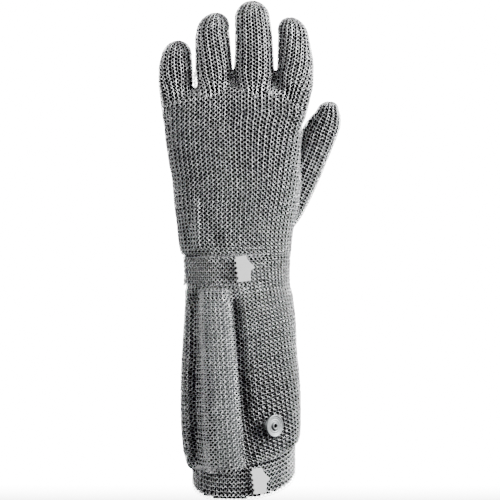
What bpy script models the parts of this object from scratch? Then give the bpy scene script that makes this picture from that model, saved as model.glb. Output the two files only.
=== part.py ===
"""A long-cuffed ring-mesh safety glove for a left hand, standing fingers up.

Origin at the middle of the wrist, +Z towards the fingertips, +X towards the thumb,
-Y out of the back of the hand. Sizes below are millimetres; MM turns them to metres.
"""

import math

import bmesh
import bpy
import numpy as np
from mathutils import Matrix, Vector

for old in list(bpy.data.objects):
    bpy.data.objects.remove(old, do_unlink=True)

MM = 0.001
WALL = 2.8            # ring mesh measured over its leaning rings
STRAP_WALL = 2.2      # the flatter mesh of the straps and the pocket
GAP = 0.35            # air between pieces that touch

# ---------------------------------------------------------------- wrist, palm and cuff
SLEEVE_COLUMNS = ("height", "left", "right", "front", "back", "squareness")
SLEEVE = (
    (-142.5, -35.6, 46.0, -24.6, 24.8, 2.2),
    (-138.5, -37.2, 48.2, -26.2, 26.4, 2.2),
    (-126.0, -40.2, 48.9, -27.6, 27.8, 2.2),
    (-105.0, -41.7, 48.8, -28.0, 28.2, 2.2),
    (-83.0, -41.8, 48.0, -27.6, 28.0, 2.2),
    (-60.0, -40.7, 46.0, -26.6, 27.2, 2.2),
    (-38.0, -39.3, 45.0, -25.4, 26.4, 2.2),
    (-22.0, -38.5, 43.2, -24.4, 25.6, 2.2),
    (-15.0, -38.4, 41.9, -23.8, 25.2, 2.2),
    (-12.0, -36.3, 40.7, -22.6, 24.6, 2.2),
    (-1.0, -36.7, 40.6, -22.2, 24.2, 2.2),
    (10.6, -38.6, 41.2, -22.0, 24.0, 2.2),
    (13.6, -42.9, 41.5, -22.6, 23.8, 2.25),
    (20.0, -45.0, 42.0, -22.2, 23.6, 2.3),
    (34.0, -45.9, 43.8, -21.2, 23.0, 2.35),
    (50.0, -47.8, 46.2, -20.2, 22.6, 2.4),
    (66.0, -48.3, 47.6, -19.4, 22.2, 2.45),
    (80.0, -50.4, 48.2, -18.8, 21.2, 2.5),
    (94.0, -52.6, 48.9, -18.2, 19.6, 2.55),
    (107.0, -54.0, 49.8, -17.6, 17.8, 2.6),
    (118.0, -55.3, 52.6, -16.8, 16.4, 2.6),
    (125.0, -56.4, 54.4, -15.8, 15.6, 2.6),
)
WEB_TOP = (8.0, 0.0, 141.0)      # highest point of the web between the fingers
CUFF_TOP = 26.0                  # where the cuff's mesh meets the hand's
JOIN_GAP = 0.8                   # at cuff, hand and fingers, whose rims lean a little

# The cuff's lower edge is cut on a slant, which fades out up the cuff.
SLANT_SIDE = 0.17
SLANT_DEPTH = 0.20
SLANT_STARTS = -60.0
SLANT_FULL = -142.5

FOLD_COLUMNS = ("top_x", "top", "bottom_x", "bottom", "width", "rise")
FOLDS = (
    (-31.5, -13.0, -30.0, -146.0, 4.4, -4.6),     # long valley by the outer edge
    (-2.5, -20.0, 11.5, -144.0, 5.5, -2.6),       # valley beside the stay
    (-29.5, 56.0, -29.0, 12.0, 3.6, 2.4),         # ridge above the strap
    (-36.5, 38.0, -36.0, 12.0, 4.2, -3.0),        # valley outside that ridge
    (-12.7, 34.0, -12.7, 12.0, 4.6, -1.8),        # dent above the strap
)
FOLD_FADE = 9.0

# ---------------------------------------------------------------- fingers
FINGER_COLUMNS = ("height", "left", "right", "front", "back")
FINGERS = {
    "little_finger": {
        "rows": (
            (112.0, -55.0, -33.0, -11.5, 12.5),
            (128.0, -57.0, -32.2, -10.5, 13.0),
            (142.0, -58.3, -32.6, -8.8, 14.6),
            (151.0, -58.2, -33.0, -7.4, 15.6),
            (160.0, -56.4, -33.3, -5.6, 16.2),
        ),
        "tip": (-43.4, 7.0, 172.4),
        "starts": 139.0,
    },
    "ring_finger": {
        "rows": (
            (114.0, -32.0, -2.6, -13.8, 13.0),
            (130.0, -31.6, -2.3, -13.0, 13.2),
            (147.0, -31.3, -2.5, -11.2, 14.8),
            (162.0, -31.1, -3.2, -9.0, 16.6),
            (172.0, -30.8, -3.6, -7.4, 17.6),
            (180.0, -29.7, -3.8, -6.0, 18.2),
        ),
        "tip": (-15.0, 7.0, 193.4),
        "starts": 147.0,
    },
    "middle_finger": {
        "rows": (
            (116.0, -1.9, 29.0, -14.4, 13.0),
            (132.0, -1.5, 28.7, -13.6, 13.4),
            (148.0, -1.4, 28.5, -12.0, 14.8),
            (165.0, -1.6, 27.9, -9.6, 16.6),
            (178.0, -1.7, 27.0, -7.6, 18.0),
            (188.5, -1.1, 25.6, -5.6, 18.8),
        ),
        "tip": (12.2, 7.2, 202.4),
        "starts": 147.0,
    },
    "index_finger": {
        "rows": (
            (112.0, 27.6, 51.8, -13.0, 12.6),
            (127.0, 28.8, 55.6, -12.6, 12.8),
            (142.0, 29.6, 58.4, -11.6, 13.8),
            (156.0, 30.8, 58.4, -9.8, 15.2),
            (168.0, 30.6, 56.4, -8.0, 16.4),
            (177.0, 30.2, 54.8, -6.6, 17.0),
        ),
        "tip": (40.4, 6.4, 190.0),
        "starts": 145.0,
    },
}
THUMB = {
    "rows": (
        (24.0, 12.0, 38.0, 0.0, 20.0),
        (39.0, 20.6, 49.0, 1.0, 27.0),
        (57.0, 31.0, 59.2, 4.0, 31.0),
        (79.5, 41.0, 69.2, 8.0, 35.0),
        (102.0, 50.4, 78.2, 12.6, 38.6),
        (113.0, 53.6, 79.7, 15.2, 40.4),
    ),
    "tip": (68.4, 30.0, 127.2),
    "starts": 76.0,               # the thumb's own tube; its gusset is below
}
FINGER_SQUARENESS = 2.1

# ---------------------------------------------------------------- straps, stay and fittings
WRIST_STRAP = {"low": -11.2, "high": 9.6, "from_turn": 3.0, "to_turn": -196.0}
HEM = {"top": -143.2, "bottom": -162.0, "left": -33.0, "right": 44.8,
       "front": -24.0, "back": 24.2, "squareness": 2.2}

# The pocket rises from its edges to its full lift over a shoulder, a share of its
# width at the sides and of its length at the top.
POCKET = {"top": -13.4, "bottom": -141.8, "top_left": -27.0, "top_right": -3.4,
          "bottom_left": -23.4, "bottom_right": 7.6, "lift": 2.3, "edge_lift": 0.9,
          "side_shoulder": 0.133, "top_shoulder": 0.067}
STAY = {"top": -23.0, "bottom": -139.4, "top_middle": -15.7, "bottom_middle": -4.2,
        "half_width": 8.4, "lift": 0.6, "thickness": 1.2}

CLASP_OUTLINE = (            # across and up, clockwise from the toothed edge's top corner
    (0.0, 19.0), (7.6, 19.0), (8.6, 15.6), (10.4, 12.9), (12.4, 10.9),
    (12.4, 9.1), (9.9, 7.6), (9.2, 4.6), (8.6, 0.0), (0.0, 0.0),
)
CLASP = {"teeth": 5, "tooth_depth": 1.3, "thickness": 1.0, "lean": 7.5}
TOOTH = ((0.0, 0.0), (1.0, 0.2), (1.0, 0.45), (0.0, 0.65))   # shares of depth and pitch
WRIST_CLASP_AT = (5.2, 1.3)       # x and z of the plate's middle
HEM_CLASP_AT = (17.0, -156.6)

BUTTON_AT = (28.9, -117.0)        # x and z of its middle
BUTTON_PROFILE = (                # radius and height, from the dent in its front round to
                                  # the middle of the disc riveted on behind
    (0.0, 0.9), (1.2, 0.9), (1.2, 2.5), (1.9, 2.9), (2.7, 2.5), (3.1, 1.8),
    (6.2, 1.8), (7.0, 2.3), (7.7, 2.0), (7.9, 1.4), (7.6, 0.8), (2.2, 0.7),
    (2.2, -3.6), (6.0, -3.8), (6.0, -4.8), (0.0, -4.8),
)
BUTTON_HOLE = {"radius": 2.6, "depth": 24.0, "sides": 20}

# ---------------------------------------------------------------- mesh density
CUFF_SIDES = 44
HAND_SIDES = 36
FINGER_SIDES = 16
CUFF_HEIGHTS = (-142.5, -138.5, -128.0, -112.0, -96.0, -78.0, -60.0, -42.0, -28.0,
                -18.0, -14.5, -12.0, -1.0, 10.6, 13.6, 19.0, CUFF_TOP)
HAND_HEIGHTS = (CUFF_TOP + JOIN_GAP, 40.0, 56.0, 72.0, 88.0, 104.0, 118.0, 125.0)
DOME_STEPS = (0.35, 0.66, 0.88)   # shares of a dome's height
SHORTEST_LENGTH = 3.0             # a finger's loops stay this far apart or more
STRAP_STEPS = (3, 28)             # up and along
POCKET_STEPS = (13, 9)           # down and across
STAY_STEPS = (13, 6)
HEM_STEPS = 3
BUTTON_SIDES = 24
OVERLAP = 5.0                     # how far a cutter runs past what it cuts or joins
TURN_STEP = 0.02                  # radians, to find a surface's direction
HEIGHT_STEP = 1.0


def new_collection(name):
    made = bpy.data.collections.new(name)
    bpy.context.scene.collection.children.link(made)
    return made


PARTS = new_collection("ring_mesh_glove")
CUTTERS = new_collection("cutters")


def material(name, colour, metallic, roughness):
    made = bpy.data.materials.new(name)
    made.use_nodes = True
    shader = made.node_tree.nodes["Principled BSDF"]
    shader.inputs["Base Color"].default_value = (*colour, 1.0)
    shader.inputs["Metallic"].default_value = metallic
    shader.inputs["Roughness"].default_value = roughness
    return made


def table_rows(columns, table):
    return [dict(zip(columns, row)) for row in table]


def eased(share):
    share = min(max(share, 0.0), 1.0)
    return share * share * (3.0 - 2.0 * share)


def slopes(heights, values):
    """Slopes at each row that keep a cubic between rows from overshooting."""
    steps = np.diff(values) / np.diff(heights)
    found = np.zeros(len(values))
    found[0], found[-1] = steps[0], steps[-1]
    for i in range(1, len(values) - 1):
        before, after = steps[i - 1], steps[i]
        if before * after > 0.0:
            found[i] = 2.0 * before * after / (before + after)
    return found


def row_at(rows, height):
    """The table's row at any height, on a smooth line through its rows."""
    heights = np.array([row["height"] for row in rows])
    i = int(np.clip(np.searchsorted(heights, height) - 1, 0, len(rows) - 2))
    span = heights[i + 1] - heights[i]
    t = min(max((height - heights[i]) / span, 0.0), 1.0)
    found = {}
    for column in rows[0]:
        values = np.array([row[column] for row in rows])
        slope = slopes(heights, values)
        found[column] = (
            values[i] * (1 + 2 * t) * (1 - t) ** 2
            + slope[i] * span * t * (1 - t) ** 2
            + values[i + 1] * t * t * (3 - 2 * t)
            + slope[i + 1] * span * t * t * (t - 1)
        )
    return found


SLEEVE_ROWS = table_rows(SLEEVE_COLUMNS, SLEEVE)
FOLD_ROWS = table_rows(FOLD_COLUMNS, FOLDS)


def section_point(row, turn, squareness, inset=0.0):
    """A point on one section; turn is 0 at the front and grows towards +X."""
    power = 2.0 / squareness
    across, forward = math.sin(turn), math.cos(turn)
    half_width = (row["right"] - row["left"]) / 2 - inset
    half_depth = (row["back"] - row["front"]) / 2 - inset
    x = (row["right"] + row["left"]) / 2
    x += half_width * math.copysign(abs(across) ** power, across)
    y = (row["back"] + row["front"]) / 2
    y -= half_depth * math.copysign(abs(forward) ** power, forward)
    return x, y


def fold_rise(x, height):
    """How far the folds lift the front of the sleeve at x, -Y being outwards."""
    total = 0.0
    for fold in FOLD_ROWS:
        share = (fold["top"] - height) / (fold["top"] - fold["bottom"])
        middle = fold["top_x"] + share * (fold["bottom_x"] - fold["top_x"])
        fade = eased((fold["top"] - height) / FOLD_FADE)
        fade *= eased((height - fold["bottom"]) / FOLD_FADE)
        total += fold["rise"] * fade * math.exp(-(((x - middle) / fold["width"]) ** 2))
    return total


def slant(x, y, height):
    full = eased((SLANT_STARTS - height) / (SLANT_STARTS - SLANT_FULL))
    return full * (SLANT_SIDE * x + SLANT_DEPTH * y)


def sleeve_point(height, turn, inset=0.0):
    row = row_at(SLEEVE_ROWS, height)
    x, y = section_point(row, turn, row["squareness"], inset)
    front_share = eased(math.cos(turn) * 3.0)
    y -= fold_rise(x, height) * front_share
    return Vector((x, y, height + slant(x, y, height)))


def sleeve_turn(height, x):
    """The turn, on the front, at which the sleeve stands at x."""
    row = row_at(SLEEVE_ROWS, height)
    middle = (row["right"] + row["left"]) / 2
    reach = (x - middle) / ((row["right"] - row["left"]) / 2)
    return math.asin(math.copysign(abs(reach) ** (row["squareness"] / 2), reach))


def hem_point(height, turn):
    x, y = section_point(HEM, turn, HEM["squareness"])
    return Vector((x, y, height + slant(x, y, height)))


def outward(point_at, height, turn):
    """A point of a tube's surface and its unit normal there."""
    here = point_at(height, turn)
    round_it = point_at(height, turn + TURN_STEP) - point_at(height, turn - TURN_STEP)
    up_it = point_at(height + HEIGHT_STEP, turn) - point_at(height - HEIGHT_STEP, turn)
    return here, round_it.cross(up_it).normalized()


def lifted(point_at, height, turn, lift):
    here, normal = outward(point_at, height, turn)
    return here + normal * lift


def mesh_object(name, points, faces, collection, finish=None):
    """An object from points in millimetres, with its normals facing outwards."""
    mesh = bpy.data.meshes.new(name)
    mesh.from_pydata([Vector(point) * MM for point in points], [], faces)
    work = bmesh.new()
    work.from_mesh(mesh)
    bmesh.ops.recalc_face_normals(work, faces=work.faces)
    work.to_mesh(mesh)
    work.free()
    made = bpy.data.objects.new(name, mesh)
    if finish:
        mesh.materials.append(finish)
    collection.objects.link(made)
    return made


def loft(name, loops, collection, tip=None, closed_ends=False, finish=None):
    """A tube through loops of points; tip closes the far end, closed_ends caps it."""
    sides = len(loops[0])
    points = [point for loop in loops for point in loop]
    faces = []
    for k in range(len(loops) - 1):
        for i in range(sides):
            j = (i + 1) % sides
            low, high = k * sides, (k + 1) * sides
            faces.append((low + i, low + j, high + j, high + i))
    last = (len(loops) - 1) * sides
    if tip is not None:
        points.append(tip)
        faces += [(last + i, last + (i + 1) % sides, len(points) - 1)
                  for i in range(sides)]
    elif closed_ends:
        faces.append(tuple(range(last, last + sides)))
    if closed_ends:
        faces.append(tuple(reversed(range(sides))))
    return mesh_object(name, points, faces, collection, finish)


def sheet(name, grid, collection, finish):
    """An open sheet from a grid of points."""
    across = len(grid[0])
    points = [point for line in grid for point in line]
    faces = []
    for k in range(len(grid) - 1):
        for i in range(across - 1):
            low, high = k * across + i, (k + 1) * across + i
            faces.append((low, low + 1, high + 1, high))
    return mesh_object(name, points, faces, collection, finish)


def thicken(made, wall):
    """Gives an open surface its wall, inwards from the outer face."""
    solid = made.modifiers.new("wall", "SOLIDIFY")
    solid.thickness = wall * MM
    solid.offset = -1.0
    solid.use_even_offset = True
    return solid


def boolean(made, operation, other=None, group=None):
    cut = made.modifiers.new(operation.lower(), "BOOLEAN")
    cut.operation = operation
    cut.solver = "EXACT"
    if group:
        cut.operand_type = "COLLECTION"
        cut.collection = group
    else:
        cut.object = other
    return cut


def turns(sides):
    return [math.tau * (i + 0.5) / sides for i in range(sides)]


def finger_loop(rows, height, sides, inset=0.0):
    row = row_at(rows, height)
    loop = []
    for turn in turns(sides):
        x, y = section_point(row, turn, FINGER_SQUARENESS, inset)
        loop.append((x, y, height))
    return loop


def dome_loops(base, tip):
    """Loops that shrink from a tube's last loop towards its tip, as an ellipse does."""
    middle = np.mean(base, axis=0)
    loops = []
    for rise in DOME_STEPS:
        spread = math.sqrt(1.0 - rise * rise)
        centre = middle + (np.array(tip) - middle) * rise
        loops.append([tuple(centre + (np.array(p) - middle) * spread) for p in base])
    return loops


def finger_heights(rows, start, stop):
    low, high = start + SHORTEST_LENGTH, stop - SHORTEST_LENGTH
    return [start, *[row["height"] for row in rows if low < row["height"] < high], stop]


def finger_tube(name, finger, start, collection, inset=0.0, finish=None, solid=False):
    """A whole finger from a height up to its tip, open at the start unless solid."""
    rows = table_rows(FINGER_COLUMNS, finger["rows"])
    top = rows[-1]["height"]
    loops = [finger_loop(rows, h, FINGER_SIDES, inset)
             for h in finger_heights(rows, start, top)]
    tip = (finger["tip"][0], finger["tip"][1], finger["tip"][2] - inset)
    loops += dome_loops(loops[-1], tip)
    return loft(name, loops, collection, tip=tip, closed_ends=solid, finish=finish)


def finger_root(name, finger, stop, collection, inset=0.0):
    """The short solid length of a finger between the hand and its own tube."""
    rows = table_rows(FINGER_COLUMNS, finger["rows"])
    loops = [finger_loop(rows, h, FINGER_SIDES, inset)
             for h in finger_heights(rows, rows[0]["height"], stop)]
    return loft(name, loops, collection, closed_ends=True)


def hand_solid(name, collection, inset, start):
    heights = [start, *HAND_HEIGHTS[1:]]
    loops = [[sleeve_point(h, t, inset) for t in turns(HAND_SIDES)] for h in heights]
    tip = (WEB_TOP[0], WEB_TOP[1], WEB_TOP[2] - inset)
    loops += dome_loops([tuple(p) for p in loops[-1]], tip)
    return loft(name, loops, collection, tip=tip, closed_ends=True)


def clasp_points():
    """The clasp plate's outline about its own middle, teeth down its left edge."""
    outline = [Vector(point) for point in CLASP_OUTLINE]
    top, pitch = outline[0].y, outline[0].y / CLASP["teeth"]
    teeth = []
    for i in range(CLASP["teeth"]):
        teeth += [Vector((-CLASP["tooth_depth"] * out, (i + up) * pitch)) for out, up in TOOTH]
    middle = Vector((outline[2].x / 2, top / 2))
    return [point - middle for point in outline[:-1] + teeth]


def flat_plate(name, outline, thickness, place, finish):
    curve = bpy.data.curves.new(name, "CURVE")
    curve.dimensions = "2D"
    curve.fill_mode = "BOTH"
    curve.extrude = thickness * MM / 2
    line = curve.splines.new("POLY")
    line.points.add(len(outline) - 1)
    for at, point in zip(line.points, outline):
        at.co = (point.x * MM, point.y * MM, 0.0, 1.0)
    line.use_cyclic_u = True
    made = bpy.data.objects.new(name, curve)
    curve.materials.append(finish)
    PARTS.objects.link(made)
    made.matrix_world = place
    return made


def facing(point, normal, lean=0.0):
    """A frame at a point in millimetres, its Z along the normal and its Y upwards."""
    across = Vector((0.0, 0.0, 1.0)).cross(normal).normalized()
    up = normal.cross(across)
    turn = Matrix((across, up, normal)).transposed().to_4x4()
    lean_it = Matrix.Rotation(math.radians(lean), 4, "Z")
    return Matrix.Translation(point * MM) @ turn @ lean_it


def on_surface(point_at, turn_of, x, z):
    """The surface point and normal at a given x and world height z."""
    height = z
    for _ in range(6):
        turn = turn_of(height, x)
        height += z - point_at(height, turn).z
    return outward(point_at, height, turn)


def hem_turn(_height, x):
    middle = (HEM["right"] + HEM["left"]) / 2
    reach = (x - middle) / ((HEM["right"] - HEM["left"]) / 2)
    return math.asin(math.copysign(abs(reach) ** (HEM["squareness"] / 2), reach))


def move_to(made, collection):
    for held in list(made.users_collection):
        held.objects.unlink(made)
    collection.objects.link(made)


def build_cuff(steel):
    loops = [[sleeve_point(h, t) for t in turns(CUFF_SIDES)] for h in CUFF_HEIGHTS]
    cuff = loft("cuff_mesh", loops, PARTS, finish=steel)
    thicken(cuff, WALL)
    point, normal = on_surface(sleeve_point, sleeve_turn, *BUTTON_AT)
    bpy.ops.mesh.primitive_cylinder_add(vertices=BUTTON_HOLE["sides"],
                                        radius=BUTTON_HOLE["radius"] * MM,
                                        depth=BUTTON_HOLE["depth"] * MM)
    hole = bpy.context.object
    hole.name = "button_hole"
    hole.matrix_world = facing(point, normal)
    move_to(hole, CUTTERS)
    boolean(cuff, "DIFFERENCE", other=hole)


def build_hand(steel):
    hand = hand_solid("hand_mesh", PARTS, 0.0, HAND_HEIGHTS[0])
    hand.data.materials.append(steel)
    roots = new_collection("finger_roots")
    hollows = new_collection("hand_hollows")
    for name, finger in FINGERS.items():
        start = finger["starts"]
        finger_root(name + "_root", finger, start, roots)
        finger_root(name + "_root_hollow", finger, start + OVERLAP, hollows, WALL)
    hand_solid("palm_hollow", hollows, WALL, HAND_HEIGHTS[0] - OVERLAP)
    finger_tube("thumb_hollow", THUMB, THUMB["rows"][0][0], hollows, WALL, solid=True)
    boolean(hand, "UNION", group=roots)
    boolean(hand, "DIFFERENCE", group=hollows)
    return [roots, hollows]


def build_fingers(steel):
    for name, finger in FINGERS.items():
        tube = finger_tube(name, finger, finger["starts"] + JOIN_GAP, PARTS, finish=steel)
        thicken(tube, WALL)


def build_thumb(steel):
    """The thumb's tube and the gusset that joins it to the palm."""
    tube = finger_tube("thumb", THUMB, THUMB["starts"] + JOIN_GAP, PARTS, finish=steel)
    rows = table_rows(FINGER_COLUMNS, THUMB["rows"])
    loops = [finger_loop(rows, h, FINGER_SIDES)
             for h in finger_heights(rows, rows[0]["height"], THUMB["starts"])]
    gusset = loft("thumb_gusset", loops, PARTS, finish=steel)
    start = THUMB["rows"][0][0] - OVERLAP
    keep_off = hand_solid("hand_outline", CUTTERS, -GAP, start)
    for made in (tube, gusset):
        thicken(made, WALL)
        boolean(made, "DIFFERENCE", other=keep_off)


def build_wrist_strap(steel):
    first, last = WRIST_STRAP["from_turn"], WRIST_STRAP["to_turn"]
    grid = []
    for height in np.linspace(WRIST_STRAP["low"], WRIST_STRAP["high"], STRAP_STEPS[0]):
        line = []
        for turn in np.linspace(math.radians(first), math.radians(last), STRAP_STEPS[1]):
            line.append(lifted(sleeve_point, height, turn, 2 * GAP + STRAP_WALL))
        grid.append(line)
    strap = sheet("wrist_strap", grid, PARTS, steel)
    thicken(strap, STRAP_WALL)


def build_hem_band(steel):
    heights = np.linspace(HEM["bottom"], HEM["top"], HEM_STEPS)
    loops = [[hem_point(h, t) for t in turns(CUFF_SIDES)] for h in heights]
    thicken(loft("hem_band", loops, PARTS, finish=steel), WALL)


def along(size, share):
    """The left and right edge of the pocket at a share of the way down it."""
    left = size["top_left"] + share * (size["bottom_left"] - size["top_left"])
    right = size["top_right"] + share * (size["bottom_right"] - size["top_right"])
    return left, right


def build_pocket(steel):
    grid = []
    for share in np.linspace(0.0, 1.0, POCKET_STEPS[0]):
        height = POCKET["top"] + share * (POCKET["bottom"] - POCKET["top"])
        left, right = along(POCKET, share)
        end_rise = eased(share / POCKET["top_shoulder"])
        line = []
        for across in np.linspace(0.0, 1.0, POCKET_STEPS[1]):
            rise = eased(min(across, 1.0 - across) / POCKET["side_shoulder"]) * end_rise
            lift = POCKET["edge_lift"] + POCKET["lift"] * rise + STRAP_WALL
            turn = sleeve_turn(height, left + across * (right - left))
            line.append(lifted(sleeve_point, height, turn, lift))
        grid.append(line)
    thicken(sheet("stay_pocket", grid, PARTS, steel), STRAP_WALL)


def build_stay(plastic):
    grid = []
    for share in np.linspace(0.0, 1.0, STAY_STEPS[0]):
        height = STAY["top"] + share * (STAY["bottom"] - STAY["top"])
        middle = STAY["top_middle"] + share * (STAY["bottom_middle"] - STAY["top_middle"])
        line = []
        for across in np.linspace(-1.0, 1.0, STAY_STEPS[1]):
            turn = sleeve_turn(height, middle + across * STAY["half_width"])
            line.append(lifted(sleeve_point, height, turn, STAY["lift"] + STAY["thickness"]))
        grid.append(line)
    thicken(sheet("cuff_stay", grid, PARTS, plastic), STAY["thickness"])


def build_clasps(plate_steel):
    outline = clasp_points()
    lift = 3 * GAP + STRAP_WALL + CLASP["thickness"] / 2
    point, normal = on_surface(sleeve_point, sleeve_turn, *WRIST_CLASP_AT)
    flat_plate("wrist_clasp", outline, CLASP["thickness"],
               facing(point + normal * lift, normal, CLASP["lean"]), plate_steel)
    point, normal = on_surface(hem_point, hem_turn, *HEM_CLASP_AT)
    lift = 2 * GAP + CLASP["thickness"] / 2
    flat_plate("hem_clasp", outline, CLASP["thickness"],
               facing(point + normal * lift, normal, CLASP["lean"]), plate_steel)


def build_button(plate_steel):
    mesh = bpy.data.meshes.new("button")
    points = [(radius * MM, 0.0, out * MM) for radius, out in BUTTON_PROFILE]
    mesh.from_pydata(points, [(i, i + 1) for i in range(len(points) - 1)], [])
    mesh.materials.append(plate_steel)
    button = bpy.data.objects.new("button", mesh)
    PARTS.objects.link(button)
    turned = button.modifiers.new("turned", "SCREW")
    turned.axis = "Z"
    turned.steps = turned.render_steps = BUTTON_SIDES
    turned.use_merge_vertices = True
    turned.merge_threshold = 0.00001
    turned.use_normal_calculate = True
    point, normal = on_surface(sleeve_point, sleeve_turn, *BUTTON_AT)
    button.matrix_world = facing(point, normal)


def hide_cutters(groups):
    for group in groups:
        for cutter in group.objects:
            cutter.hide_render = True
            cutter.display_type = "WIRE"
            if group is not CUTTERS:
                CUTTERS.objects.link(cutter)


def main():
    steel = material("stainless ring mesh", (0.42, 0.43, 0.44), 1.0, 0.35)
    plate_steel = material("stamped stainless plate", (0.72, 0.72, 0.71), 1.0, 0.38)
    plastic = material("natural nylon", (0.78, 0.78, 0.75), 0.0, 0.45)
    build_cuff(steel)
    groups = build_hand(steel)
    build_fingers(steel)
    build_thumb(steel)
    build_wrist_strap(steel)
    build_hem_band(steel)
    build_pocket(steel)
    build_stay(plastic)
    build_clasps(plate_steel)
    build_button(plate_steel)
    hide_cutters([*groups, CUTTERS])


main()
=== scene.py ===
import math

import bmesh
import bpy
import numpy as np
from mathutils import Matrix, Vector
from mathutils.bvhtree import BVHTree


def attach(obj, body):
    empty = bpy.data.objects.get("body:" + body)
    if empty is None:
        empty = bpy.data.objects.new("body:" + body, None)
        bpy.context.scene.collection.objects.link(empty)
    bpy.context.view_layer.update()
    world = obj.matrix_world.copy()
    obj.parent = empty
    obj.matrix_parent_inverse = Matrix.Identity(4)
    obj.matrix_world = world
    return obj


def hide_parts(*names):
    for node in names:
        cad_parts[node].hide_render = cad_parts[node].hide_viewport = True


# Ring-mesh glove, left hand. Sizes here are millimetres in the frame's own axes:
# +Z to the fingertips, +X to the thumb, -Y out of the back of the hand.

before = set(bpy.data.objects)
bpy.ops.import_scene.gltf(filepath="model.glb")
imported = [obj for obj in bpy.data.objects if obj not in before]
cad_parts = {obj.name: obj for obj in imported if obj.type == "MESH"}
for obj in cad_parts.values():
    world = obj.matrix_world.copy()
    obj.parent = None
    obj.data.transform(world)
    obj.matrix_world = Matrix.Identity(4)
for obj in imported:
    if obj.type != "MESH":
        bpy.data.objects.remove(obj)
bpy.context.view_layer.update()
mm = 0.001
rng = np.random.default_rng(11)    # every random draw comes from here or from a tree's seed

# The sleeve is hand and cuff in one tube: sections from the mouth to the knuckles.
sleeve = {
    "columns": ("height", "left", "right", "front", "back", "squareness"),
    "table": (
        (-142.5, -35.6, 46.0, -24.6, 24.8, 2.2),
        (-138.5, -37.2, 48.2, -26.2, 26.4, 2.2),
        (-126.0, -40.2, 48.9, -27.6, 27.8, 2.2),
        (-105.0, -41.7, 48.8, -28.0, 28.2, 2.2),
        (-83.0, -41.8, 48.0, -27.6, 28.0, 2.2),
        (-60.0, -40.7, 46.0, -26.6, 27.2, 2.2),
        (-38.0, -39.3, 45.0, -25.4, 26.4, 2.2),
        (-22.0, -38.5, 43.2, -24.4, 25.6, 2.2),
        (-15.0, -38.4, 41.9, -23.8, 25.2, 2.2),
        (-12.0, -37.4, 40.7, -22.6, 24.6, 2.2),
        (-1.0, -36.7, 40.6, -22.2, 24.2, 2.2),
        (9.8, -37.6, 41.1, -22.0, 24.0, 2.2),
        (11.4, -40.9, 41.2, -22.4, 23.9, 2.2),
        (13.6, -41.8, 41.5, -22.6, 23.8, 2.25),
        (20.0, -43.2, 42.0, -22.2, 23.6, 2.3),
        (34.0, -44.6, 43.8, -21.2, 23.0, 2.35),
        (50.0, -46.7, 46.2, -20.2, 22.6, 2.4),
        (66.0, -47.9, 47.6, -19.4, 22.2, 2.45),
        (80.0, -50.4, 48.2, -18.8, 21.2, 2.5),
        (94.0, -52.6, 48.9, -18.2, 19.6, 2.55),
        (107.0, -54.0, 49.8, -17.6, 17.8, 2.6),
        (118.0, -55.3, 52.6, -16.8, 16.4, 2.6),
        (125.0, -56.4, 54.4, -15.8, 15.6, 2.6),
    ),
    "tip": (8.0, 0.0, 141.0),          # top of the web between the fingers
    "bottom": -142.5,
    "slantSide": 0.17,                 # the cuff's lower edge is cut on a slant
    "slantDepth": 0.20,
    "slantCurve": 0.0036,              # the edge sweeps up faster from here to the thumb side
    "slantCurveFrom": 10.0,
    "slantFrom": -60.0,
    "slantTo": -142.5,
}

foldColumns = ("topX", "top", "bottomX", "bottom", "width", "rise")
folds = (
    (-31.5, -13.0, -30.0, -146.0, 4.6, -8.5),     # long valley by the outer edge
    (-2.6, -18.0, 8.6, -116.0, 4.6, -3.4),        # valley beside the stay
    (-29.5, 56.0, -29.0, 12.0, 3.6, 2.4),         # ridge above the strap
    (-36.5, 38.0, -36.0, 12.0, 4.2, -3.0),        # valley outside that ridge
    (-12.7, 34.0, -12.7, 12.0, 4.6, -1.8),        # dent above the strap
)
foldFade = 9.0

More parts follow.
